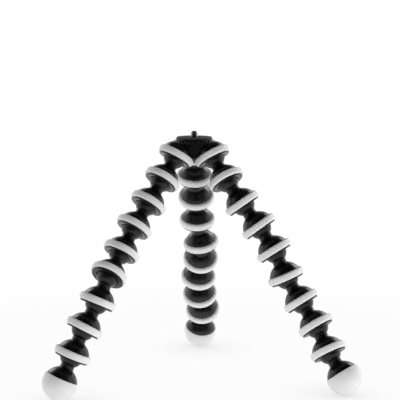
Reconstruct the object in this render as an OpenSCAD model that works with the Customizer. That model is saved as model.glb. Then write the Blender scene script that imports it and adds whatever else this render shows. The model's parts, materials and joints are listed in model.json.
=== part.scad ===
// Flexible leg tripod: a hub with three sockets and a camera screw, and three legs of
// ball-and-socket links with rubber grip rings, standing on rubber feet.
// Z is up, the floor is z = 0, and the origin is under the middle of the feet.
// X runs from the left leg to the right leg, and the rear leg points along +Y.

/* [Leg link] */
// Distance from one ball centre to the next
link_pitch = 23; // [22.5:0.1:25]
// Diameter of the ball at the top of each link
ball_d = 18.5; // [17:0.1:19.5]
// Gap between a ball and its socket, on the radius
socket_gap = 0.15; // [0.12:0.01:0.25]
// Diameter of the neck between a ball and its cup
neck_d = 11; // [9:0.1:11.5]
// Radius of the curve where the neck runs into the cup
neck_blend = 2.2; // [1.5:0.1:3]
// Outside diameter of the cup round a socket
cup_d = 27; // [26.6:0.1:28]
// Height of the bare lip below the grip ring
lip_h = 1.2; // [1:0.1:1.6]
// Bevel on the outer edge of the lip
lip_bevel = 0.4; // [0.2:0.1:0.6]

/* [Grip ring] */
// How far the rubber ring stands out of its cup
ring_proud = 1.5; // [1:0.1:1.8]
// Height of the ring
ring_h = 5.8; // [5:0.1:6.2]
// How far the ring reaches below the ball centre
ring_drop = 1.2; // [0.8:0.1:1.4]
// Depth of the groove in the cup that holds the ring
ring_groove = 1.1; // [1:0.1:1.4]
// Rounding of the ring's outer edges
ring_round = 1.9; // [1:0.1:2.2]
// Gap between a rubber piece and the plastic that it is stretched over
rubber_fit = 0.04; // [0.02:0.01:0.08]

/* [Foot] */
// Diameter of the rubber ball foot
foot_d = 28.4; // [27.6:0.1:30]
// Thickness of the rubber round the plastic core inside the foot
foot_wall = 3.2; // [2.2:0.1:4]
// Height of the foot's rim above the foot's centre
foot_rim = 4.4; // [3:0.1:5.5]

/* [Hub] */
// Gap between neighbouring grip rings on the hub
ring_gap = 1.2; // [0.6:0.1:2]
// Angle of each socket's axis from straight down
socket_tilt = 32; // [30:0.5:34]
// Radius of the core that joins the three cups
core_r = 16; // [14:0.1:16.4]
// Thickness of the hub's deck over the sockets
deck_wall = 1.2; // [1:0.1:2]

/* [Camera head] */
// Radius of the turning lock ring
lock_ring_r = 17; // [16.6:0.1:17.6]
// Height of the lock ring
lock_ring_h = 2.2; // [2:0.1:4]
// Number of finger grooves round the lock ring
lock_grooves = 30; // [20:1:36]
// Radius of one finger groove
lock_groove_r = 0.9; // [0.5:0.1:1.2]
// Radius of the camera plate's spigot, which the lock ring turns on
spigot_r = 9; // [8.6:0.1:9.4]
// Depth of the spigot below the deck
spigot_depth = 3.1; // [2.8:0.1:3.4]
// Radius of the camera plate's flange
plate_r = 15; // [14:0.1:16]
// Thickness of the camera plate's flange
plate_t = 1.2; // [1:0.1:2]
// Radius of the rubber pad under the camera
pad_r = 14.4; // [13:0.1:15]
// Thickness of the pad
pad_t = 1.2; // [1:0.1:2]
// Radius of the hole in the pad
pad_bore_r = 4.5; // [4:0.1:6]
// Diameter of the camera screw, a quarter of an inch
screw_d = 6.35; // [6.35]
// Height of the screw's thread above the pad
screw_reach = 5; // [4:0.1:5.5]
// Diameter of the plain shank that keeps the screw captive in the plate
shank_d = 5; // [4:0.1:5.6]
// Radius of the screw's head
screw_head_r = 6; // [5:0.1:6.5]
// Height of the screw's head
screw_head_h = 2.5; // [2:0.1:2.7]
// Width of the coin slot in the screw's head
slot_w = 1.6; // [1.2:0.1:2]
// Depth of the coin slot
slot_depth = 1.2; // [0.8:0.1:1.6]
// Gap where one part of the head turns in another
turn_gap = 0.3; // [0.2:0.05:0.4]

/* [Hidden] */
$fn = 64;

// How each leg stands: the lean of every link from straight down, outwards along the leg, and its
// lean to the side, in degrees. The first ball is at the hub and the last link carries the foot.
LEGS = ["left", "right", "rear"];
AZIMUTH = [210, 330, 90];
LEAN = [
    [38, 38, 38, 35, 40, 26, 30, 24, 25],
    [37, 34, 35, 33, 24, 34, 36, 32, 36],
    [24, 36, 25, 23, 46, 36, 39, 43, 28]
];
SIDE = [
    [8, 7, 8, 10, 24, 0, -3, -5, -5],
    [-7, 12, 12, 8, 7, 6, -1, -6, 0],
    [-1, -4, -2, -9, 2, 6, -5, -9, 7]
];
links = len(LEAN[0]) - 1;

// Colours
plastic = "#1c1c1e";
rubber = "#d2d2d0";
dark_rubber = "#303032";
steel = "#b8babd";

// Radii that follow from the diameters above
ball_r = ball_d / 2;
socket_r = ball_r + socket_gap;
neck_r = neck_d / 2;
cup_r = cup_d / 2;
ring_r = cup_r + ring_proud;
ring_seat_r = cup_r - ring_groove;
ring_top = ring_h - ring_drop;
lip_end = ring_drop + lip_h;
foot_r = foot_d / 2;
foot_core_r = foot_r - foot_wall;
screw_r = screw_d / 2;
shank_r = shank_d / 2;

// The ring's inside in its groove, and the rounding of its edges, which the ring's thickness limits
edge_land = 0.2;
ring_inner = ring_seat_r + rubber_fit;
ring_edge = min(ring_round, ring_r - ring_inner - edge_land, ring_h / 2 - rubber_fit - edge_land);

// Radius of the circle through the three socket centres, which keeps the hub's leaning rings apart
half_step = (AZIMUTH[1] - AZIMUTH[0]) / 2;
ring_lean = sin(half_step) * sin(socket_tilt);
ring_half_width = (ring_r - ring_edge) * sqrt(1 - ring_lean * ring_lean)
    + (ring_top - rubber_fit - ring_edge) * ring_lean + ring_edge;
socket_circle_r = (ring_half_width + ring_gap / 2) / sin(half_step);

// The neck's curve meets the cup's sphere a little short of tangent
blend_overlap = 0.15;
blend_y = link_pitch - sqrt(pow(cup_r + neck_blend - blend_overlap, 2) - pow(neck_r + neck_blend, 2));
blend_r = (neck_r + neck_blend) * cup_r / (cup_r + neck_blend);
blend_sink = 0.5;
blend_top = link_pitch - sqrt(cup_r * cup_r - blend_r * blend_r) + blend_sink;

// Heights in the head, above the plane of the three socket centres
deck_z = socket_r + deck_wall;
seat_z = deck_z - spigot_depth;
lock_z = deck_z + turn_gap;
plate_z = lock_z + lock_ring_h + turn_gap;
pad_z = plate_z + plate_t;
pad_top = pad_z + pad_t;
head_z = seat_z + turn_gap;
head_top = head_z + screw_head_h;

// Room past a face, so that a cut goes clean through it
past = 1;

function total(v, i = 0) = i < len(v) ? v[i] + total(v, i + 1) : 0;

// Direction down a link, from its lean, its side lean and the leg's azimuth
function heading(leg, k, shift) =
    let (
        a = LEAN[leg][k] + shift,
        b = SIDE[leg][k],
        out = sin(a),
        across = cos(a) * sin(b),
        f = AZIMUTH[leg]
    )
    [out * cos(f) - across * sin(f), out * sin(f) + across * cos(f), -cos(a) * cos(b)];

// Height from the socket centres down to a foot's centre
function drop(leg, shift) = -link_pitch * total([for (k = [0 : links]) heading(leg, k, shift)[2]]);

// The small extra lean that brings a leg's foot down level with the left foot
settle_limit = 12;
settle_steps = 40;
function settle(leg, low = -settle_limit, high = settle_limit, steps = settle_steps) =
    let (mid = (low + high) / 2)
    steps == 0 ? mid
    : drop(leg, mid) > drop(0, 0) ? settle(leg, mid, high, steps - 1)
    : settle(leg, low, mid, steps - 1);
SHIFT = [0, settle(1), settle(2)];

// Where a ball's centre is, from the hub's centre
function ball_from_hub(leg, k) =
    k == 0 ? socket_circle_r * [cos(AZIMUTH[leg]), sin(AZIMUTH[leg]), 0]
    : ball_from_hub(leg, k - 1) + link_pitch * heading(leg, k - 1, SHIFT[leg]);

// The hub stands where the middle of the three feet falls on the origin
FOOT_X = [for (leg = [0 : 2]) ball_from_hub(leg, links + 1)[0]];
FOOT_Y = [for (leg = [0 : 2]) ball_from_hub(leg, links + 1)[1]];
hub_at = [
    -(min(FOOT_X) + max(FOOT_X)) / 2,
    -(min(FOOT_Y) + max(FOOT_Y)) / 2,
    drop(0, 0) + foot_r
];

function ball_at(leg, k) = hub_at + ball_from_hub(leg, k);

function link_name(leg, k) = str(LEGS[leg], "_link_", k);
function ring_name(leg, k) = str(LEGS[leg], "_ring_", k);
function ankle_name(leg) = str(LEGS[leg], "_ankle");
function foot_name(leg) = str(LEGS[leg], "_foot");

// Places a child at a link's ball, with the child's +Z running down the link
module at_link(leg, k) {
    translate(ball_at(leg, k - 1))
        rotate([0, 0, AZIMUTH[leg]])
            rotate([SIDE[leg][k - 1], 0, 0])
                rotate([0, 180 - LEAN[leg][k - 1] - SHIFT[leg], 0])
                    children();
}

// Places a child at a hub socket's centre, with the child's +Z running out of the socket
module at_socket(leg) {
    translate(ball_at(leg, 0))
        rotate([0, 0, AZIMUTH[leg]])
            rotate([0, 180 - socket_tilt, 0])
                children();
}

// The part of a disc right of the axis and between two heights
module half_disc(r, low, high) {
    intersection() {
        circle(r = r);
        translate([0, low]) square([r + past, high - low]);
    }
}

// A cup's outline round its socket centre: dome, ring seat and lip
module cup_outline() {
    half_disc(cup_r, -cup_r - past, -ring_top);
    translate([0, -ring_top]) square([ring_seat_r, ring_h]);
    polygon([
        [0, ring_drop],
        [cup_r, ring_drop],
        [cup_r, lip_end - lip_bevel],
        [cup_r - lip_bevel, lip_end],
        [0, lip_end]
    ]);
}

// A ball and the neck that runs from it into a dome one pitch away
module ball_and_neck_outline() {
    half_disc(ball_r, -ball_r - past, ball_r + past);
    square([neck_r, blend_y + blend_sink]);
    difference() {
        translate([0, blend_y]) square([blend_r, blend_top - blend_y]);
        translate([neck_r + neck_blend, blend_y]) circle(r = neck_blend);
    }
}

module link_outline() {
    difference() {
        union() {
            ball_and_neck_outline();
            translate([0, link_pitch]) cup_outline();
        }
        translate([0, link_pitch]) circle(r = socket_r);
    }
}

module ankle_outline() {
    ball_and_neck_outline();
    translate([0, link_pitch]) {
        half_disc(cup_r, -cup_r - past, -foot_rim);
        half_disc(foot_core_r, -foot_rim - past, foot_core_r + past);
    }
}

module foot_outline() {
    difference() {
        half_disc(foot_r, rubber_fit - foot_rim, foot_r + past);
        circle(r = foot_core_r + rubber_fit);
    }
}

// A grip ring's outline round the socket centre, with round outer edges
module ring_outline() {
    low = rubber_fit - ring_top;
    high = ring_drop - rubber_fit;
    translate([ring_inner, low]) square([ring_r - ring_edge - ring_inner, high - low]);
    translate([ring_inner, low + ring_edge]) square([ring_r - ring_inner, high - low - 2 * ring_edge]);
    for (y = [low + ring_edge, high - ring_edge])
        translate([ring_r - ring_edge, y]) circle(r = ring_edge);
}

module link(leg, k) {
    color(plastic) at_link(leg, k) rotate_extrude() link_outline();
}

module ring(leg, k) {
    color(rubber) at_link(leg, k) translate([0, 0, link_pitch]) rotate_extrude() ring_outline();
}

module ankle(leg) {
    color(plastic) at_link(leg, links + 1) rotate_extrude() ankle_outline();
}

module foot(leg) {
    color(rubber) at_link(leg, links + 1) translate([0, 0, link_pitch]) rotate_extrude() foot_outline();
}

// The core fills the middle of the hub down to the planes of the three rings' upper faces
module hub_core() {
    reach = socket_circle_r + cup_r;
    difference() {
        translate(hub_at - [0, 0, reach]) cylinder(r = core_r, h = reach + deck_z + past);
        for (leg = [0 : 2])
            at_socket(leg)
                translate([0, 0, -ring_top])
                    cylinder(r = 2 * reach, h = 2 * reach);
    }
}

module hub_body() {
    color(plastic) difference() {
        union() {
            hub_core();
            for (leg = [0 : 2]) at_socket(leg) rotate_extrude() cup_outline();
        }
        for (leg = [0 : 2]) at_socket(leg) sphere(r = socket_r);
        translate(hub_at + [0, 0, deck_z]) cylinder(r = lock_ring_r + turn_gap, h = cup_r);
        translate(hub_at + [0, 0, seat_z]) cylinder(r = spigot_r + turn_gap, h = cup_r);
    }
}

module hub_rings() {
    color(rubber) for (leg = [0 : 2]) at_socket(leg) rotate_extrude() ring_outline();
}

module lock_ring() {
    color(plastic) translate(hub_at + [0, 0, lock_z]) difference() {
        cylinder(r = lock_ring_r, h = lock_ring_h);
        translate([0, 0, -past]) cylinder(r = spigot_r + turn_gap, h = lock_ring_h + 2 * past);
        for (i = [0 : lock_grooves - 1])
            rotate([0, 0, i * 360 / lock_grooves])
                translate([lock_ring_r, 0, -past])
                    cylinder(r = lock_groove_r, h = lock_ring_h + 2 * past);
    }
}

module camera_plate() {
    color(plastic) translate(hub_at) difference() {
        union() {
            translate([0, 0, seat_z]) cylinder(r = spigot_r, h = pad_z - seat_z);
            translate([0, 0, plate_z]) cylinder(r = plate_r, h = plate_t);
        }
        translate([0, 0, seat_z - past]) cylinder(r = screw_r + turn_gap, h = pad_z - seat_z + 2 * past);
        translate([0, 0, seat_z - past])
            cylinder(r = screw_head_r + turn_gap, h = head_top + turn_gap - seat_z + past);
    }
}

module camera_pad() {
    color(dark_rubber) translate(hub_at + [0, 0, pad_z]) difference() {
        cylinder(r = pad_r, h = pad_t);
        translate([0, 0, -past]) cylinder(r = pad_bore_r, h = pad_t + 2 * past);
    }
}

module camera_screw() {
    color(steel) translate(hub_at) difference() {
        union() {
            translate([0, 0, head_z]) cylinder(r = screw_head_r, h = screw_head_h);
            translate([0, 0, head_z]) cylinder(r = shank_r, h = pad_top - head_z);
            translate([0, 0, pad_top]) cylinder(r = screw_r, h = screw_reach);
        }
        translate([-screw_head_r - past, -slot_w / 2, head_z - past])
            cube([2 * (screw_head_r + past), slot_w, slot_depth + past]);
    }
}

hub_body();
hub_rings();
lock_ring();
camera_plate();
camera_pad();
camera_screw();
for (leg = [0 : 2]) {
    for (k = [1 : links]) {
        link(leg, k);
        ring(leg, k);
    }
    ankle(leg);
    foot(leg);
}
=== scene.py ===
# %% [markdown]
# # A flexible leg tripod
# This is a small tripod that stands on a table, hangs from a rail or wraps round a branch. Three legs hang
# from a hub, and each leg is a string of black ball-and-socket links. Every cup wears a pale rubber grip
# ring, and the legs end in rubber ball feet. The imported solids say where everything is. This lesson gives
# each piece its finished surface.

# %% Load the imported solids
import json
import math

import bpy
from mathutils import Matrix, Vector


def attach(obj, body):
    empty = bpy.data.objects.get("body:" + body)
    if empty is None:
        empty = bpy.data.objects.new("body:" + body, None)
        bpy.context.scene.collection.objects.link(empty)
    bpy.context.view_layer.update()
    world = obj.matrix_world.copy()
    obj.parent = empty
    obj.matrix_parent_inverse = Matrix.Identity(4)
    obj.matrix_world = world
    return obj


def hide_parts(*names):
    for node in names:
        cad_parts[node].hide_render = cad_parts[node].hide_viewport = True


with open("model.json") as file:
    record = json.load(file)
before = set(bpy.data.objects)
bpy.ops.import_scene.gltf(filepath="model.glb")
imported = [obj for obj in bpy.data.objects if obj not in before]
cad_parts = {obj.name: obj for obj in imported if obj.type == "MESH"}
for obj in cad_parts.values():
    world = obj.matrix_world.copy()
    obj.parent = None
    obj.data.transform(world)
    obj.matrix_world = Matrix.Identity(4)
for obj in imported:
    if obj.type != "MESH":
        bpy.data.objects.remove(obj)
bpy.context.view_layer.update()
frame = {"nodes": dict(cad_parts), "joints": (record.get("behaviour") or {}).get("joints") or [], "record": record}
bpy.context.scene.view_settings.view_transform = "Standard"

# %% [markdown]
# ## Where the balls are
# A leg is a chain, so one point and one direction place each link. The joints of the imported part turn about
# the balls' centres, so their places are read from there. The last link points at its foot, whose far pole
# is the vertex that lies furthest from the ankle's ball.

# %% Read the chain of each leg
MM = 0.001
LEGS = ["left", "right", "rear"]
LINKS = 8
JOINTS = {joint["name"]: joint for joint in frame["joints"]}
MOUNTS = {mount["name"]: mount for mount in frame["record"]["mounts"]}


def ball(leg, k):
    """Centre of a leg's ball, counted from 1 at the hub."""
    return Vector(JOINTS[f"{leg}_ball_{k}"]["pos_m"])


hub_axis = Vector(MOUNTS["camera_screw"]["pos_m"])
hub = Vector((hub_axis.x, hub_axis.y, ball("left", 1).z))
pitch = (ball("left", 2) - ball("left", 1)).length / MM


def link_way(leg, k):
    """Direction down a link, from its ball to the middle of its cup or foot."""
    start = ball(leg, k)
    if k <= LINKS:
        return (ball(leg, k + 1) - start).normalized()
    points = (vertex.co for vertex in frame["nodes"][f"{leg}_foot"].data.vertices)
    pole = max(points, key=lambda point: (point - start).length)
    return (pole - start).normalized()


def outward(leg):
    """Level direction in which a leg leaves the hub."""
    return (ball(leg, 1) - hub).normalized()


def along(start, way, side):
    """Matrix that moves a piece's origin to start, its +Z to way, and its +X as near to side as it goes."""
    z = way.normalized()
    x = (side - side.dot(z) * z).normalized()
    turned_axes = Matrix((x, z.cross(x), z)).transposed().to_4x4()
    return Matrix.Translation(start) @ turned_axes


print("hub:", [round(v / MM, 1) for v in hub], "pitch:", round(pitch, 2))

# %% [markdown]
# ## Colour and nodes
# Colours are written as on a paint chart, in sRGB hex, and Blender's sockets want linear light. One function
# turns one into the other. Another adds a shader node with its settings and its links, so that a material
# reads as a list. Noise of a given size and a change between two values come up often, so their sockets are
# worked out once.

# %% Helpers for the materials
NOISE_MIDDLE = (0.35, 0.65)
NOISE_DETAIL = 3.0
NOISE_ROUGHNESS = 0.55


def colour(code):
    """Linear colour of an sRGB hex value."""
    parts = [int(code[i:i + 2], 16) / 255 for i in (1, 3, 5)]
    return [p / 12.92 if p <= 0.04045 else ((p + 0.055) / 1.055) ** 2.4 for p in parts] + [1.0]


def node(tree, kind, links=None, sockets=None, **settings):
    """Adds a node: links maps its inputs to other outputs, sockets its inputs to constant values."""
    made = tree.nodes.new(kind)
    for name, value in settings.items():
        setattr(made, name, value)
    for name, value in (sockets or {}).items():
        made.inputs[name].default_value = value
    for name, output in (links or {}).items():
        tree.links.new(output, made.inputs[name])
    return made


def new_material(name):
    """An empty material with its tree, its Principled shader and the surface's own coordinates."""
    made = bpy.data.materials.new(name)
    made.use_nodes = True
    tree = made.node_tree
    place = node(tree, "ShaderNodeTexCoord").outputs["Object"]
    return made, tree, tree.nodes["Principled BSDF"], place


def speckle(size_mm):
    """Sockets of a noise whose features are about size_mm across."""
    return {"Scale": 1 / (size_mm * MM), "Detail": NOISE_DETAIL, "Roughness": NOISE_ROUGHNESS}


def span(reach, low, high):
    """Sockets of a Map Range that goes from low to high while its value runs over reach."""
    return {"From Min": reach[0], "From Max": reach[1], "To Min": low, "To Max": high}


def set_tones(ramp, tones):
    """Lets a colour ramp go between two hex values over the middle of a noise."""
    for stop, position, tone in zip(ramp.color_ramp.elements, NOISE_MIDDLE, tones):
        stop.position = position
        stop.color = colour(tone)


# %% [markdown]
# ## A grained skin
# Moulded plastic and rubber look alike in one way: patches of a few millimetres change their tone and their
# roughness a little, and a fine grain stands out of the surface. So one function makes these skins, and each
# material brings its own numbers.

# %% Skin of a moulding


def grained_skin(name, ior, tones, roughness, patch_mm, grain_mm, grain_depth_mm, grain_strength):
    """A material with patches in its tone and roughness, and a fine grain."""
    made, tree, skin, place = new_material(name)
    patches = node(tree, "ShaderNodeTexNoise", {"Vector": place}, speckle(patch_mm)).outputs["Fac"]
    grain = node(tree, "ShaderNodeTexNoise", {"Vector": place}, speckle(grain_mm)).outputs["Fac"]
    tone = node(tree, "ShaderNodeValToRGB", {"Fac": patches})
    set_tones(tone, tones)
    sheen = node(tree, "ShaderNodeMapRange", {"Value": patches}, span(NOISE_MIDDLE, *roughness))
    relief = {"Strength": grain_strength, "Distance": grain_depth_mm * MM}
    bump = node(tree, "ShaderNodeBump", {"Height": grain}, relief)
    skin.inputs["IOR"].default_value = ior
    tree.links.new(tone.outputs["Color"], skin.inputs["Base Color"])
    tree.links.new(sheen.outputs["Result"], skin.inputs["Roughness"])
    tree.links.new(bump.outputs["Normal"], skin.inputs["Normal"])
    return made


# %% [markdown]
# ## Black nylon
# The links, the ankles and the hub are glass-filled nylon, injection moulded in a spark-eroded tool. It is
# deep black and has a satin skin: the middle of a dome stays dark, and its edges pick up the bright room.
# The real grain is about 0.1 mm, too fine to show here, so it is drawn at 0.7 mm with little depth. Handling
# polishes some patches, so the roughness drifts over a few millimetres.

# %% Moulded black nylon
black_nylon = grained_skin(
    "moulded_black_nylon",
    ior=1.53,
    tones=("#08080A", "#101012"),
    roughness=(0.23, 0.33),
    patch_mm=7.0,
    grain_mm=0.7,
    grain_depth_mm=0.04,
    grain_strength=0.5,
)
print("made", black_nylon.name)

# %% [markdown]
# ## Pale rubber
# Grip rings and feet are moulded from a soft pale rubber, so that they hold on rails and don't slip on a
# table. It is nearly white, with a matt, slightly dusty skin. Its highlights are wide and weak. A faint
# mottling keeps it from looking painted, and its fine grain is again drawn coarser than the real one.

# %% Moulded pale rubber
pale_rubber = grained_skin(
    "moulded_pale_rubber",
    ior=1.50,
    tones=("#E6E6E6", "#ECECEC"),
    roughness=(0.50, 0.60),
    patch_mm=9.0,
    grain_mm=0.6,
    grain_depth_mm=0.05,
    grain_strength=0.5,
)
print("made", pale_rubber.name)

# %% [markdown]
# ## Black rubber and turned steel
# The pad on top is black rubber sheet, dull and a little grey with dust. Its patches are as fine as its grain.
# The screw is turned from bright steel: a metal with fine rings round its axis, left by the tool. A noise that
# is stretched across the axis draws these rings.

# %% Pad rubber and screw steel
TOOL_MARK = 0.25
MARK_STRETCH = (0.1, 0.1, 1.0)
STEEL_TONES = ("#B4B6B9", "#CDCFD1")
STEEL_ROUGHNESS = (0.22, 0.34)

pad_rubber = grained_skin(
    "pad_rubber_sheet",
    ior=1.50,
    tones=("#29292C", "#35353A"),
    roughness=(0.65, 0.8),
    patch_mm=0.8,
    grain_mm=0.8,
    grain_depth_mm=0.05,
    grain_strength=0.4,
)


def turned_bright_steel():
    """A metal with the lathe's fine rings in its tone and roughness."""
    made, tree, skin, place = new_material("turned_bright_steel")
    rings = node(tree, "ShaderNodeMapping", {"Vector": place}, {"Scale": MARK_STRETCH}).outputs["Vector"]
    marks = node(tree, "ShaderNodeTexNoise", {"Vector": rings}, speckle(TOOL_MARK)).outputs["Fac"]
    tone = node(tree, "ShaderNodeValToRGB", {"Fac": marks})
    set_tones(tone, STEEL_TONES)
    sheen = node(tree, "ShaderNodeMapRange", {"Value": marks}, span(NOISE_MIDDLE, *STEEL_ROUGHNESS))
    skin.inputs["Metallic"].default_value = 1.0
    tree.links.new(tone.outputs["Color"], skin.inputs["Base Color"])
    tree.links.new(sheen.outputs["Result"], skin.inputs["Roughness"])
    return made


bright_steel = turned_bright_steel()
print("made", pad_rubber.name, bright_steel.name)

# %% [markdown]
# ## A lathe for round pieces
# Almost every piece here is round about one axis. The solids could be kept as they are, but their meshes are
# loose triangles, and a gloss black dome shows each facet. So the outline is drawn again point by point, by
# extruding one vertex, and spun about Z. A bevel then rounds the sharp edges, as a moulding tool does.

# %% Drawing and turning
TURN_STEPS = 96
WELD = 0.002


def arc(middle, radius, start, end, steps):
    """Points (radius, height) of an arc about middle, from a start to an end angle in degrees."""
    angles = [math.radians(start + (end - start) * i / steps) for i in range(steps + 1)]
    return [(middle[0] + radius * math.cos(a), middle[1] + radius * math.sin(a)) for a in angles]


def drawn(name, outline):
    """A line of edges through an outline of (radius, height) in millimetres."""
    points = [Vector((r, 0, z)) * MM for r, z in outline]
    bpy.ops.object.select_all(action="DESELECT")
    bpy.ops.mesh.primitive_plane_add(size=MM)
    bpy.context.object.name = name
    bpy.ops.object.mode_set(mode="EDIT")
    bpy.ops.mesh.merge(type="CENTER")
    bpy.ops.transform.translate(value=points[0])
    for before, after in zip(points, points[1:]):
        bpy.ops.mesh.extrude_vertices_move(TRANSFORM_OT_translate={"value": after - before})
    bpy.ops.object.mode_set(mode="OBJECT")
    return bpy.context.object


def turned(name, outline, steps=TURN_STEPS):
    """A solid of revolution round Z, from its outline."""
    piece = drawn(name, outline)
    bpy.ops.object.mode_set(mode="EDIT")
    bpy.ops.mesh.select_all(action="SELECT")
    bpy.ops.mesh.spin(steps=steps, angle=2 * math.pi, center=(0, 0, 0), axis=(0, 0, 1))
    bpy.ops.mesh.select_all(action="SELECT")
    bpy.ops.mesh.remove_doubles(threshold=WELD * MM)
    bpy.ops.mesh.normals_make_consistent(inside=False)
    bpy.ops.object.mode_set(mode="OBJECT")
    return piece


# %% Softening, copying and handing over
SMOOTH_ANGLE = math.radians(35)
EDGE_SEGMENTS = 3


def pick(piece):
    """Makes one object the selected and active one."""
    bpy.ops.object.select_all(action="DESELECT")
    piece.select_set(True)
    bpy.context.view_layer.objects.active = piece


def smooth(piece):
    """Shades a piece smooth, apart from its sharp edges."""
    pick(piece)
    bpy.ops.object.shade_smooth_by_angle(angle=SMOOTH_ANGLE)


def soften(piece, width, segments=EDGE_SEGMENTS):
    """Rounds a piece's sharp edges and shades the rest smooth."""
    pick(piece)
    bpy.ops.object.modifier_add(type="BEVEL")
    bevel = piece.modifiers[-1]
    bevel.width = width * MM
    bevel.segments = segments
    bevel.limit_method = "ANGLE"
    bevel.angle_limit = SMOOTH_ANGLE
    bpy.ops.object.modifier_apply(modifier=bevel.name)
    smooth(piece)


def finish(piece, material):
    """Gives a piece its material."""
    piece.data.materials.clear()
    piece.data.materials.append(material)


def copied(master, name, matrix):
    """A copy of a piece with its own mesh, moved into place in its mesh."""
    pick(master)
    bpy.ops.object.duplicate(linked=False)
    piece = bpy.context.object
    piece.name = name
    piece.matrix_world = matrix
    bpy.ops.object.transform_apply(location=True, rotation=True, scale=True)
    return piece


def belongs(piece, body, slot, *nodes):
    """Says which body carries a piece and which solids it stands for. The slot is not used."""
    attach(piece, body)
    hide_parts(*nodes)


def triangles(piece):
    """How many triangles a piece has."""
    return sum(len(face.vertices) - 2 for face in piece.data.polygons)


# %% [markdown]
# ## The link
# A link is one moulding: a ball that snaps into the cup above, a short waist, and a cup with a dome, a groove
# for the grip ring and a thin lip. Its outline is the solid's, drawn with arcs, and the waist runs into the
# ball and the dome by small curves. The socket's mouth has a chamfer, which draws the dark line round the
# next ball.

# %% Outline of a ball, its waist and a dome
BALL_R = 9.25
WAIST_R = 5.5
BALL_BLEND = 0.9
DOME_BLEND = 2.2
CUP_R = 13.5
BALL_STEPS = 28
BALL_BLEND_STEPS = 6
DOME_BLEND_STEPS = 8
DOME_STEPS = 14


def ball_and_dome(dome_end):
    """Outline from the ball's pole to the dome's edge, dome_end above the middle of the cup."""
    ball_mid = math.sqrt((BALL_R + BALL_BLEND) ** 2 - (WAIST_R + BALL_BLEND) ** 2)
    ball_turn = math.degrees(math.atan2(ball_mid, WAIST_R + BALL_BLEND))
    ball_bend = (WAIST_R + BALL_BLEND, ball_mid)
    dome_mid = math.sqrt((CUP_R + DOME_BLEND) ** 2 - (WAIST_R + DOME_BLEND) ** 2)
    dome_turn = math.degrees(math.atan2(dome_mid, WAIST_R + DOME_BLEND))
    dome_bend = (WAIST_R + DOME_BLEND, pitch - dome_mid)
    dome_stop = math.degrees(math.asin(dome_end / CUP_R))
    return (
        arc((0, 0), BALL_R, -90, ball_turn, BALL_STEPS)
        + arc(ball_bend, BALL_BLEND, 180 + ball_turn, 180, BALL_BLEND_STEPS)[1:]
        + arc(dome_bend, DOME_BLEND, 180, 180 - dome_turn, DOME_BLEND_STEPS)
        + arc((0, pitch), CUP_R, -dome_turn, -dome_stop, DOME_STEPS)[1:]
    )


# %% Outline of a cup below its dome
SOCKET_R = 9.4
SEAT_R = 12.4
RING_TOP = 4.6
RING_DROP = 1.2
LIP_END = 2.4
LIP_BEVEL = 0.4
MOUTH_CHAMFER = 0.5
SOCKET_STEPS = 26
MOUTH_ANGLE = math.degrees(math.asin((LIP_END - MOUTH_CHAMFER) / SOCKET_R))
GROOVE_AND_LIP = [
    (SEAT_R, -RING_TOP),
    (SEAT_R, RING_DROP),
    (CUP_R, RING_DROP),
    (CUP_R, LIP_END - LIP_BEVEL),
    (CUP_R - LIP_BEVEL, LIP_END),
]


def groove_and_socket():
    """Groove, lip, mouth and socket, about the middle of the socket."""
    inside = arc((0, 0), SOCKET_R, MOUTH_ANGLE, -90, SOCKET_STEPS)
    mouth = (inside[0][0] + MOUTH_CHAMFER, LIP_END)
    return GROOVE_AND_LIP + [mouth] + inside


# %% The link, and its copies along the legs
MOULD_EDGE = 0.25
cup_rest = [(r, z + pitch) for r, z in groove_and_socket()]
link_master = turned("link_master", ball_and_dome(RING_TOP) + cup_rest)
soften(link_master, MOULD_EDGE)
finish(link_master, black_nylon)

for leg in LEGS:
    for k in range(1, LINKS + 1):
        place = along(ball(leg, k), link_way(leg, k), outward(leg))
        piece = copied(link_master, f"{leg}_link_moulding_{k}", place)
        belongs(piece, f"{leg}_leg_{k}", "black_plastic", f"{leg}_link_{k}")
print("link triangles:", triangles(link_master))

# %% [markdown]
# ## The grip ring
# A grip ring is stretched over its cup and sits in the groove. Its section is a rounded bar: the outer corners
# are worn-looking soft curves, and the inner ones stay square in the groove. It is drawn as a closed outline
# and spun.

# %% The grip ring, and its copies
RING_R = 15.0
RING_ROUND = 1.9
RUBBER_FIT = 0.04
ROUND_STEPS = 10


def ring_outline():
    """Closed outline of a grip ring about the middle of its socket."""
    low = RUBBER_FIT - RING_TOP
    high = RING_DROP - RUBBER_FIT
    inner = SEAT_R + RUBBER_FIT
    corner = RING_R - RING_ROUND
    return (
        [(inner, low)]
        + arc((corner, low + RING_ROUND), RING_ROUND, -90, 0, ROUND_STEPS)
        + arc((corner, high - RING_ROUND), RING_ROUND, 0, 90, ROUND_STEPS)
        + [(inner, high), (inner, low)]
    )


ring_master = turned("ring_master", ring_outline())
smooth(ring_master)
finish(ring_master, pale_rubber)

for leg in LEGS:
    for k in range(1, LINKS + 1):
        place = along(ball(leg, k + 1), link_way(leg, k), outward(leg))
        piece = copied(ring_master, f"{leg}_grip_ring_{k}", place)
        belongs(piece, f"{leg}_leg_{k}", "pale_rubber", f"{leg}_ring_{k}")
print("ring triangles:", triangles(ring_master))

# %% [markdown]
# ## Ankles and feet
# The last moulding of a leg has the same ball, waist and dome, but it ends in a round core instead of a cup.
# The foot is a thick rubber ball stretched over that core, and its rim stands a little proud of the dome.

# %% The ankle and the foot
FOOT_R = 14.2
FOOT_CORE_R = 11.0
FOOT_RIM = 4.4
FOOT_EDGE = 0.45
CORE_STEPS = 24
FOOT_STEPS = 30


def ankle_outline():
    """Ball, waist and dome, and the core that carries the foot."""
    core_start = math.degrees(math.asin(FOOT_RIM / FOOT_CORE_R))
    return ball_and_dome(FOOT_RIM) + arc((0, pitch), FOOT_CORE_R, -core_start, 90, CORE_STEPS)


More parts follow.
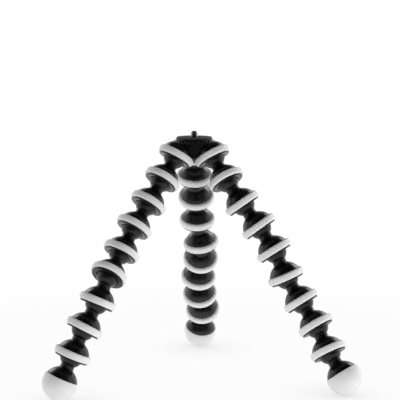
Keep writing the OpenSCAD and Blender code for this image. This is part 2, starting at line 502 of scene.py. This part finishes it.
def foot_outline():
    """A foot's hollow and its outside, about the middle of the foot."""
    rim = FOOT_RIM - RUBBER_FIT
    hollow = FOOT_CORE_R + RUBBER_FIT
    hollow_start = math.degrees(math.asin(rim / hollow))
    foot_start = math.degrees(math.asin(rim / FOOT_R))
    inside = arc((0, 0), hollow, 90, -hollow_start, CORE_STEPS)
    return inside + arc((0, 0), FOOT_R, -foot_start, 90, FOOT_STEPS)


ankle_master = turned("ankle_master", ankle_outline())
soften(ankle_master, MOULD_EDGE)
finish(ankle_master, black_nylon)
foot_master = turned("foot_master", foot_outline())
soften(foot_master, FOOT_EDGE)
finish(foot_master, pale_rubber)

for leg in LEGS:
    start = ball(leg, LINKS + 1)
    way = link_way(leg, LINKS + 1)
    piece = copied(ankle_master, f"{leg}_ankle_moulding", along(start, way, outward(leg)))
    belongs(piece, f"{leg}_leg_{LINKS + 1}", "black_plastic", f"{leg}_ankle")
    middle = start + way * pitch * MM
    piece = copied(foot_master, f"{leg}_ball_foot", along(middle, way, outward(leg)))
    belongs(piece, f"{leg}_leg_{LINKS + 1}", "pale_rubber", f"{leg}_foot")
    print(leg, "foot at", [round(v / MM, 1) for v in middle])

# %% [markdown]
# ## The hub
# The hub holds three cups that lean outwards, joined by a core, with a flat deck and a round recess on top. It
# is put together as a toolmaker would: a cylinder is cut back along the planes of the three rings, the turned
# cups are added, and the sockets, the deck and the recess are cut out. Booleans go wrong where two faces lie
# in one plane. So the core stops a hair above the cups' grooves, and the cutters run on past what they cut.
# The Manifold solver is fast, and gives the same closed mesh each time.

# %% Boolean helper and the hub's core
SOCKET_TILT = math.radians(32)
CORE_R = 16.0
DECK_Z = 10.6
HUB_REACH = 30.0
CORE_SPARE = 1.0
CORE_LIFT = 0.03
BAR_STEPS = 128


def socket_way(leg):
    """Direction out of a hub socket."""
    return outward(leg) * math.sin(SOCKET_TILT) - Vector((0, 0, 1)) * math.cos(SOCKET_TILT)


def socket_place(leg):
    """Matrix that puts a cup, a socket or a ring at a hub socket."""
    return along(ball(leg, 1), socket_way(leg), outward(leg))


def combine(piece, tool, how):
    """Joins a tool to a piece or cuts it out, and removes the tool."""
    pick(piece)
    bpy.ops.object.modifier_add(type="BOOLEAN")
    boolean = piece.modifiers[-1]
    boolean.operation = how
    boolean.solver = "MANIFOLD"
    boolean.object = tool
    bpy.ops.object.modifier_apply(modifier=boolean.name)
    bpy.data.objects.remove(tool)


def round_bar(name, radius, low, high):
    """A cylinder on the hub's axis, between two heights over the socket centres."""
    middle = hub + Vector((0, 0, (low + high) / 2 * MM))
    length = (high - low) * MM
    bpy.ops.object.select_all(action="DESELECT")
    bpy.ops.mesh.primitive_cylinder_add(vertices=BAR_STEPS, radius=radius * MM, depth=length, location=middle)
    bpy.context.object.name = name
    bpy.ops.object.transform_apply(location=True, rotation=True, scale=True)
    return bpy.context.object


def cut_off(point, way):
    """Cuts off what lies past a plane, on the mesh in edit mode, and closes the cut."""
    bpy.ops.mesh.select_all(action="SELECT")
    bpy.ops.mesh.bisect(plane_co=point, plane_no=way, use_fill=True, clear_outer=True, threshold=WELD * MM)


def hub_core():
    """The core, cut back just above the three grip rings, and left high for the deck's cut."""
    core = round_bar("hub_core", CORE_R, -HUB_REACH, DECK_Z + CORE_SPARE)
    bpy.ops.object.mode_set(mode="EDIT")
    for leg in LEGS:
        cut_off(ball(leg, 1) - socket_way(leg) * (RING_TOP + CORE_LIFT) * MM, socket_way(leg))
    bpy.ops.object.mode_set(mode="OBJECT")
    return core


# %% The hub body
SEAT_Z = 7.5
RECESS_R = 17.3
SPIGOT_HOLE_R = 9.3
CONE_H = 1.5
HUB_DOME_STEPS = 24


def hub_cup_outline():
    """A full cup without its socket, about the middle of the socket."""
    dome_stop = math.degrees(math.asin(RING_TOP / CUP_R))
    dome = arc((0, 0), CUP_R, -90, -dome_stop, HUB_DOME_STEPS)
    return dome + GROOVE_AND_LIP + [(0, LIP_END)]


def socket_tool_outline():
    """A ball that cuts a socket. The cone of its mouth's chamfer runs on past the lip."""
    ball_part = arc((0, 0), SOCKET_R, -90, MOUTH_ANGLE, SOCKET_STEPS)
    narrow, start = ball_part[-1]
    return ball_part + [(narrow + CONE_H, start + CONE_H), (0, start + CONE_H)]


cup_master = turned("cup_master", hub_cup_outline())
soften(cup_master, MOULD_EDGE)
socket_master = turned("socket_master", socket_tool_outline())

hub_piece = hub_core()
hub_piece.name = "hub_moulding"
for leg in LEGS:
    combine(hub_piece, copied(cup_master, "cup_copy", socket_place(leg)), "UNION")
for leg in LEGS:
    combine(hub_piece, copied(socket_master, "socket_copy", socket_place(leg)), "DIFFERENCE")
combine(hub_piece, round_bar("deck_cut", RECESS_R, DECK_Z, HUB_REACH), "DIFFERENCE")
combine(hub_piece, round_bar("recess_cut", SPIGOT_HOLE_R, SEAT_Z, HUB_REACH), "DIFFERENCE")
smooth(hub_piece)
finish(hub_piece, black_nylon)
belongs(hub_piece, "hub", "black_plastic", "hub_body")
print("hub faces:", len(hub_piece.data.polygons))

# %% [markdown]
# ## The hub's grip rings
# Each hub cup wears the same ring as the links do. They lean together and all but touch under the hub. The
# part keeps the three as one node, so here they are joined into one object too.

# %% Hub grip rings
three_rings = [copied(ring_master, "hub_grip_rings", socket_place(leg)) for leg in LEGS]
pick(three_rings[0])
for ring in three_rings[1:]:
    ring.select_set(True)
bpy.ops.object.join()
hub_rings_piece = bpy.context.object
belongs(hub_rings_piece, "hub", "pale_rubber", "hub_rings")
print("hub ring faces:", len(hub_rings_piece.data.polygons))

# %% [markdown]
# ## The head
# On the hub sits a round quick-release plate with a rubber pad, held by a grooved lock ring that turns on the
# plate's spigot. A captive quarter-inch screw stands out of the pad. The plate and the pad are turned like the
# links, and the pad's top has fine ribs that grip what is screwed on.

# %% Plate and pad
PLATE_Z = 13.4
PLATE_R = 15.0
PLATE_EDGE = 0.25
PAD_Z = 14.6
PAD_TOP = 15.8
PAD_R = 14.4
PAD_BORE_R = 4.5
PAD_EDGE = 0.08
SPIGOT_R = 9.0
SCREW_HOLE_R = 3.475
HEAD_HOLE_R = 6.3
HEAD_HOLE_Z = 10.6
RIB_PITCH = 1.65
RIB_GAP = 0.6
RIB_DEPTH = 0.35
HEAD_STEPS = 128
HEAD_SEGMENTS = 2
head_place = Matrix.Translation(hub)

plate_outline = [
    (SCREW_HOLE_R, HEAD_HOLE_Z),
    (HEAD_HOLE_R, HEAD_HOLE_Z),
    (HEAD_HOLE_R, SEAT_Z),
    (SPIGOT_R, SEAT_Z),
    (SPIGOT_R, PLATE_Z),
    (PLATE_R, PLATE_Z),
    (PLATE_R, PAD_Z),
    (SCREW_HOLE_R, PAD_Z),
    (SCREW_HOLE_R, HEAD_HOLE_Z),
]


def pad_outline():
    """Closed outline of the pad, with ribs on its top."""
    points = [(PAD_BORE_R, PAD_Z), (PAD_BORE_R, PAD_TOP)]
    half = RIB_GAP / 2
    for i in range(1, round((PAD_R - PAD_BORE_R) / RIB_PITCH)):
        middle = PAD_BORE_R + i * RIB_PITCH
        points += [(middle - half, PAD_TOP), (middle - half / 2, PAD_TOP - RIB_DEPTH)]
        points += [(middle + half / 2, PAD_TOP - RIB_DEPTH), (middle + half, PAD_TOP)]
    return points + [(PAD_R, PAD_TOP), (PAD_R, PAD_Z), (PAD_BORE_R, PAD_Z)]


for name, outline, edge, material, slot, solid in (
    ("quick_release_plate", plate_outline, PLATE_EDGE, black_nylon, "black_plastic", "camera_plate"),
    ("ribbed_camera_pad", pad_outline(), PAD_EDGE, pad_rubber, "pad_rubber", "camera_pad"),
):
    master = turned(name + "_master", outline, HEAD_STEPS)
    soften(master, edge, HEAD_SEGMENTS)
    finish(master, material)
    belongs(copied(master, name, head_place), "hub", slot, solid)
    print(name, "triangles:", triangles(master))
    bpy.data.objects.remove(master)

# %% [markdown]
# ## The lock ring
# Finger grooves run round the edge of the lock ring. A ring is turned with many steps, and the vertices of its
# rim are drawn inwards by a cosine where a groove is, so that the grooves have soft shoulders.

# %% Lock ring
LOCK_LOW = 10.9
LOCK_HIGH = 13.1
LOCK_R = 17.0
LOCK_CHAMFER = 0.4
LOCK_GROOVES = 30
GROOVE_HALF = 0.9
STEPS_PER_GROOVE = 14
RIM_BAND = 1.0

lock_outline = [
    (SPIGOT_HOLE_R, LOCK_LOW),
    (LOCK_R - LOCK_CHAMFER, LOCK_LOW),
    (LOCK_R, LOCK_LOW + LOCK_CHAMFER),
    (LOCK_R, LOCK_HIGH - LOCK_CHAMFER),
    (LOCK_R - LOCK_CHAMFER, LOCK_HIGH),
    (SPIGOT_HOLE_R, LOCK_HIGH),
    (SPIGOT_HOLE_R, LOCK_LOW),
]
lock_master = turned("lock_master", lock_outline, LOCK_GROOVES * STEPS_PER_GROOVE)
groove_step = 2 * math.pi / LOCK_GROOVES
for vertex in lock_master.data.vertices:
    reach = math.hypot(vertex.co.x, vertex.co.y) / MM
    turn = math.atan2(vertex.co.y, vertex.co.x)
    off = abs((turn + groove_step / 2) % groove_step - groove_step / 2) * LOCK_R
    if reach > LOCK_R - RIM_BAND and off < GROOVE_HALF:
        depth = GROOVE_HALF * math.cos(off / GROOVE_HALF * math.pi / 2)
        vertex.co.x *= 1 - depth / reach
        vertex.co.y *= 1 - depth / reach
smooth(lock_master)
finish(lock_master, black_nylon)
belongs(copied(lock_master, "grooved_lock_ring", head_place), "lock_ring", "black_plastic", "lock_ring")
print("lock ring faces:", len(lock_master.data.polygons))

# %% [markdown]
# ## The screw
# The screw has a coin-slot head inside the plate, a plain shank that keeps it captive, and a quarter-inch
# thread of 20 turns per inch. A plain pin would do for a drawing, but the thread is what one sees on top, so
# it is swept: one tooth's outline goes round a Screw modifier, and two cuts end it square. The tip then tapers
# to lead in.

# %% Thread of the screw
INCH = 25.4
THREAD_R = 3.175
THREAD_PITCH = INCH / 20
THREAD_DEPTH = 0.7
CREST = 0.17
ROOT = 0.22
SCREW_TOP = 20.8
TIP = 0.9
TIP_TAPER = 0.8
THREAD_STEPS = 48
LEAD_TURNS = 2


def swept_tooth():
    """One tooth swept round and up, from below the pad to past the tip."""
    flank = (THREAD_PITCH - CREST - ROOT) / 2
    core = THREAD_R - THREAD_DEPTH
    low = PAD_TOP - LEAD_TURNS * THREAD_PITCH
    radii = [core, core, THREAD_R, THREAD_R, core]
    heights = [0, ROOT, ROOT + flank, ROOT + flank + CREST, THREAD_PITCH]
    piece = drawn("screw_thread", [(r, low + z) for r, z in zip(radii, heights)])
    bpy.ops.object.modifier_add(type="SCREW")
    sweep = piece.modifiers[-1]
    sweep.steps = THREAD_STEPS
    sweep.render_steps = THREAD_STEPS
    sweep.iterations = math.ceil((SCREW_TOP - PAD_TOP) / THREAD_PITCH) + LEAD_TURNS + 1
    sweep.screw_offset = THREAD_PITCH * MM
    sweep.use_merge_vertices = True
    sweep.merge_threshold = WELD * MM
    bpy.ops.object.modifier_apply(modifier=sweep.name)
    return piece


def thread():
    """The threaded end, cut square at the pad and the tip, with a tapered tip."""
    piece = swept_tooth()
    bpy.ops.object.mode_set(mode="EDIT")
    for height, way in ((PAD_TOP, -1), (SCREW_TOP, 1)):
        bpy.ops.mesh.select_all(action="SELECT")
        bpy.ops.mesh.remove_doubles(threshold=WELD * MM)
        cut_off((0, 0, height * MM), (0, 0, way))
    bpy.ops.mesh.select_all(action="SELECT")
    bpy.ops.mesh.normals_make_consistent(inside=False)
    bpy.ops.object.mode_set(mode="OBJECT")
    for vertex in piece.data.vertices:
        past = vertex.co.z / MM - (SCREW_TOP - TIP)
        if past > 0:
            reach = math.hypot(vertex.co.x, vertex.co.y) / MM
            most = THREAD_R - past * TIP_TAPER
            vertex.co.x *= min(1, most / reach)
            vertex.co.y *= min(1, most / reach)
    return piece


# %% Head of the screw, and the whole screw
SHANK_R = 2.5
HEAD_R = 6.0
HEAD_LOW = 7.8
HEAD_HIGH = 10.3
SLOT_L = 18.0
SLOT_W = 1.6
SLOT_DEPTH = 1.2


def screw_head():
    """Head and shank, with the coin slot cut out."""
    outline = [(0, HEAD_LOW), (HEAD_R, HEAD_LOW), (HEAD_R, HEAD_HIGH), (SHANK_R, HEAD_HIGH)]
    piece = turned("screw_head", outline + [(SHANK_R, PAD_TOP), (0, PAD_TOP)])
    bpy.ops.object.select_all(action="DESELECT")
    bpy.ops.mesh.primitive_cube_add(size=1, location=(0, 0, HEAD_LOW * MM))
    tool = bpy.context.object
    tool.scale = (SLOT_L * MM, SLOT_W * MM, 2 * SLOT_DEPTH * MM)
    bpy.ops.object.transform_apply(location=True, rotation=True, scale=True)
    combine(piece, tool, "DIFFERENCE")
    return piece


screw_master = screw_head()
rod = thread()
pick(screw_master)
rod.select_set(True)
bpy.ops.object.join()
smooth(screw_master)
finish(screw_master, bright_steel)
belongs(copied(screw_master, "quarter_inch_screw", head_place), "camera_screw", "steel", "camera_screw")
print("screw faces:", len(screw_master.data.polygons))

# %% [markdown]
# ## Clearing up
# The masters were patterns for the copies. Left at the origin, they would stand in the picture, so they are
# removed.

# %% Remove the masters
leg_masters = [link_master, ring_master, ankle_master, foot_master]
hub_masters = [cup_master, socket_master, lock_master, screw_master]
for master in leg_masters + hub_masters:
    bpy.data.objects.remove(master)
print("masters removed:", len(leg_masters + hub_masters))

# %% [markdown]
# ## The table
# The tripod stands on a white table. Seen from the camera it is white, and near the tripod it keeps a small
# share of its own shading. That share fades out with distance, so no horizon shows. Close to a foot less of
# the open room reaches the table, so an Ambient Occlusion node draws a soft shadow there, and the feet stand
# firm. The table also glows, as one lit from below does, so the rings have bright lower edges. The balls
# mirror it too, and for them it grows darker towards the front, where no lamp reaches it.

# %% Helper for light paths, and the table's plane
TABLE_SIZE = (6.0, 4.6)
TABLE_MIDDLE = (0, 1.75, 0)
SOFT_ENDS = {"interpolation_type": "SMOOTHSTEP"}


def light_path(tree):
    """Numbers that are 1 for the camera's own rays, and for rays that a glossy or clear surface passed on."""
    path = node(tree, "ShaderNodeLightPath").outputs
    passed_on = {0: path["Is Glossy Ray"], 1: path["Is Transmission Ray"]}
    return path["Is Camera Ray"], node(tree, "ShaderNodeMath", passed_on, operation="MAXIMUM").outputs["Value"]


bpy.ops.object.select_all(action="DESELECT")
bpy.ops.mesh.primitive_plane_add(size=1)
table = bpy.context.object
table.name = "table"
table.scale = (*TABLE_SIZE, 1)
table.location = TABLE_MIDDLE
bpy.ops.object.transform_apply(location=True, rotation=True, scale=True)
print("table:", TABLE_SIZE)

# %% White acrylic, with its shadow and its glow
TABLE_ROUGHNESS = 0.9
TABLE_SHADOW = 0.05
SHADOW_REACH = (0.25, 0.6)
CONTACT_SHADOW = 0.25
CONTACT_REACH = 0.05
TABLE_GLOW = 1.0
TABLE_FRONT = 0.45
TABLE_FADE = (-0.20, 0.10)

acrylic, tree, skin, place = new_material("white_acrylic_table")
skin.inputs["Base Color"].default_value = colour("#F2F2F2")
skin.inputs["Roughness"].default_value = TABLE_ROUGHNESS
camera_ray, mirrored = light_path(tree)

far = node(tree, "ShaderNodeVectorMath", {"Vector": place}, operation="LENGTH").outputs["Value"]
far_span = span(SHADOW_REACH, 1 - TABLE_SHADOW, 1.0)
shown = node(tree, "ShaderNodeMapRange", {"Value": far}, far_span, **SOFT_ENDS).outputs["Result"]

depth = node(tree, "ShaderNodeSeparateXYZ", {"Vector": place}).outputs["Y"]
depth_span = span(TABLE_FADE, TABLE_FRONT, 1.0)
lit = node(tree, "ShaderNodeMapRange", {"Value": depth}, depth_span, **SOFT_ENDS).outputs["Result"]

to_mirrors = {"Value": mirrored, "To Max": lit}
glow = node(tree, "ShaderNodeMapRange", to_mirrors, {"To Min": TABLE_GLOW}).outputs["Result"]
to_camera = {"Value": camera_ray, "To Min": glow, "To Max": shown}
share = node(tree, "ShaderNodeMapRange", to_camera).outputs["Result"]

open_room = node(tree, "ShaderNodeAmbientOcclusion", sockets={"Distance": CONTACT_REACH}).outputs["AO"]
darkest = {"To Min": 1 - CONTACT_SHADOW}
contact = node(tree, "ShaderNodeMapRange", {"Value": open_room}, darkest).outputs["Result"]
white = node(tree, "ShaderNodeEmission", {"Strength": contact}, {"Color": colour("#FFFFFF")})
both = {0: share, 1: skin.outputs["BSDF"], 2: white.outputs["Emission"]}
mixed = node(tree, "ShaderNodeMixShader", both)
tree.links.new(mixed.outputs["Shader"], tree.nodes["Material Output"].inputs["Surface"])
finish(table, acrylic)
print("made", acrylic.name)

# %% [markdown]
# ## The room
# White walls stand behind the tripod and at its sides, and the front and the ceiling are dark. So a black dome
# is dark in the middle, and its edges pick up the walls. The world does this by direction. To the camera it is
# white all round.

# %% Room
DARK_SIDE = 0.03
ROOM_LIGHT = 0.9
FRONT_FADE = (-0.65, 0.10)
TOP_FADE = (0.35, 0.75)

world = bpy.data.worlds.new("studio")
bpy.context.scene.world = world
world.use_nodes = True
tree = world.node_tree
camera_ray, mirrored = light_path(tree)
way = node(tree, "ShaderNodeTexCoord").outputs["Generated"]
axes = node(tree, "ShaderNodeSeparateXYZ", {"Vector": way}).outputs

wall_span = span(FRONT_FADE, DARK_SIDE, 1.0)
walls = node(tree, "ShaderNodeMapRange", {"Value": axes["Y"]}, wall_span, **SOFT_ENDS).outputs["Result"]
top_span = span(TOP_FADE, 1.0, DARK_SIDE)
below_top = node(tree, "ShaderNodeMapRange", {"Value": axes["Z"]}, top_span, **SOFT_ENDS).outputs["Result"]
levels = {"To Min": ROOM_LIGHT, "To Max": 1.0}
level = node(tree, "ShaderNodeMapRange", {"Value": mirrored}, levels).outputs["Result"]

shape = node(tree, "ShaderNodeMath", {0: walls, 1: below_top}, operation="MULTIPLY").outputs["Value"]
room = node(tree, "ShaderNodeMath", {0: shape, 1: level}, operation="MULTIPLY").outputs["Value"]
strength = node(tree, "ShaderNodeMath", {0: room, 1: camera_ray}, operation="MAXIMUM").outputs["Value"]
backdrop = tree.nodes["Background"]
backdrop.inputs["Color"].default_value = colour("#FFFFFF")
tree.links.new(strength, backdrop.inputs["Strength"])
print("made", world.name)

# %% [markdown]
# ## Lamps
# Two softboxes hang high behind the tripod, to the left and to the right. They give the domes' shoulders their
# highlights. Three weaker fill lamps light the pale rings: a low one in front, and one at each side, which
# makes the ends of the rings brighter than their middles. The black domes would mirror the fills as white
# squares, so the fills are left out of the mirrored rays, as lamps behind a tent of gauze are.

# %% Lamps
AIM = Vector((0, 0, 0.1))


def softbox(name, location, size, watts, in_mirrors=True):
    """A square lamp that faces the middle of the tripod."""
    bpy.ops.object.light_add(type="AREA", location=location)
    lamp = bpy.context.object
    lamp.name = name
    lamp.data.shape = "SQUARE"
    lamp.data.size = size
    lamp.data.energy = watts
    lamp.rotation_euler = (AIM - Vector(location)).to_track_quat("-Z", "Y").to_euler()
    lamp.visible_glossy = in_mirrors


softbox("rear_left_softbox", location=(-1.1, 1.2, 1.25), size=0.9, watts=8)
softbox("rear_right_softbox", location=(1.1, 1.2, 1.25), size=0.9, watts=8)
softbox("front_fill", location=(0.6, -1.15, 0.18), size=0.5, watts=6.5, in_mirrors=False)
softbox("left_fill", location=(-1.2, 0.25, 0.3), size=0.6, watts=3.5, in_mirrors=False)
softbox("right_fill", location=(1.2, 0.25, 0.3), size=0.6, watts=3.5, in_mirrors=False)
print("lamps:", len(bpy.data.lights))

# %% [markdown]
# ## Camera
# The photograph looks slightly down from well away, with a long lens, so the legs show little perspective. The
# camera is placed from the hub, and its lens is set so that the 400 pixel frame has the right focal length.

# %% Camera
FRAME_PX = 400
FOCAL_PX = 1748
SENSOR = 36
FAR_CLIP = 100
CAMERA_OFFSET = Vector((4.7, -1416, 148)) * MM
LOOK_DOWN = 7.4

bpy.ops.object.camera_add(location=hub + CAMERA_OFFSET, rotation=(math.radians(90 - LOOK_DOWN), 0, 0))
camera = bpy.context.object
camera.data.sensor_width = SENSOR
camera.data.lens = FOCAL_PX / FRAME_PX * SENSOR
camera.data.clip_end = FAR_CLIP
bpy.context.scene.camera = camera
print("lens:", round(camera.data.lens, 1))
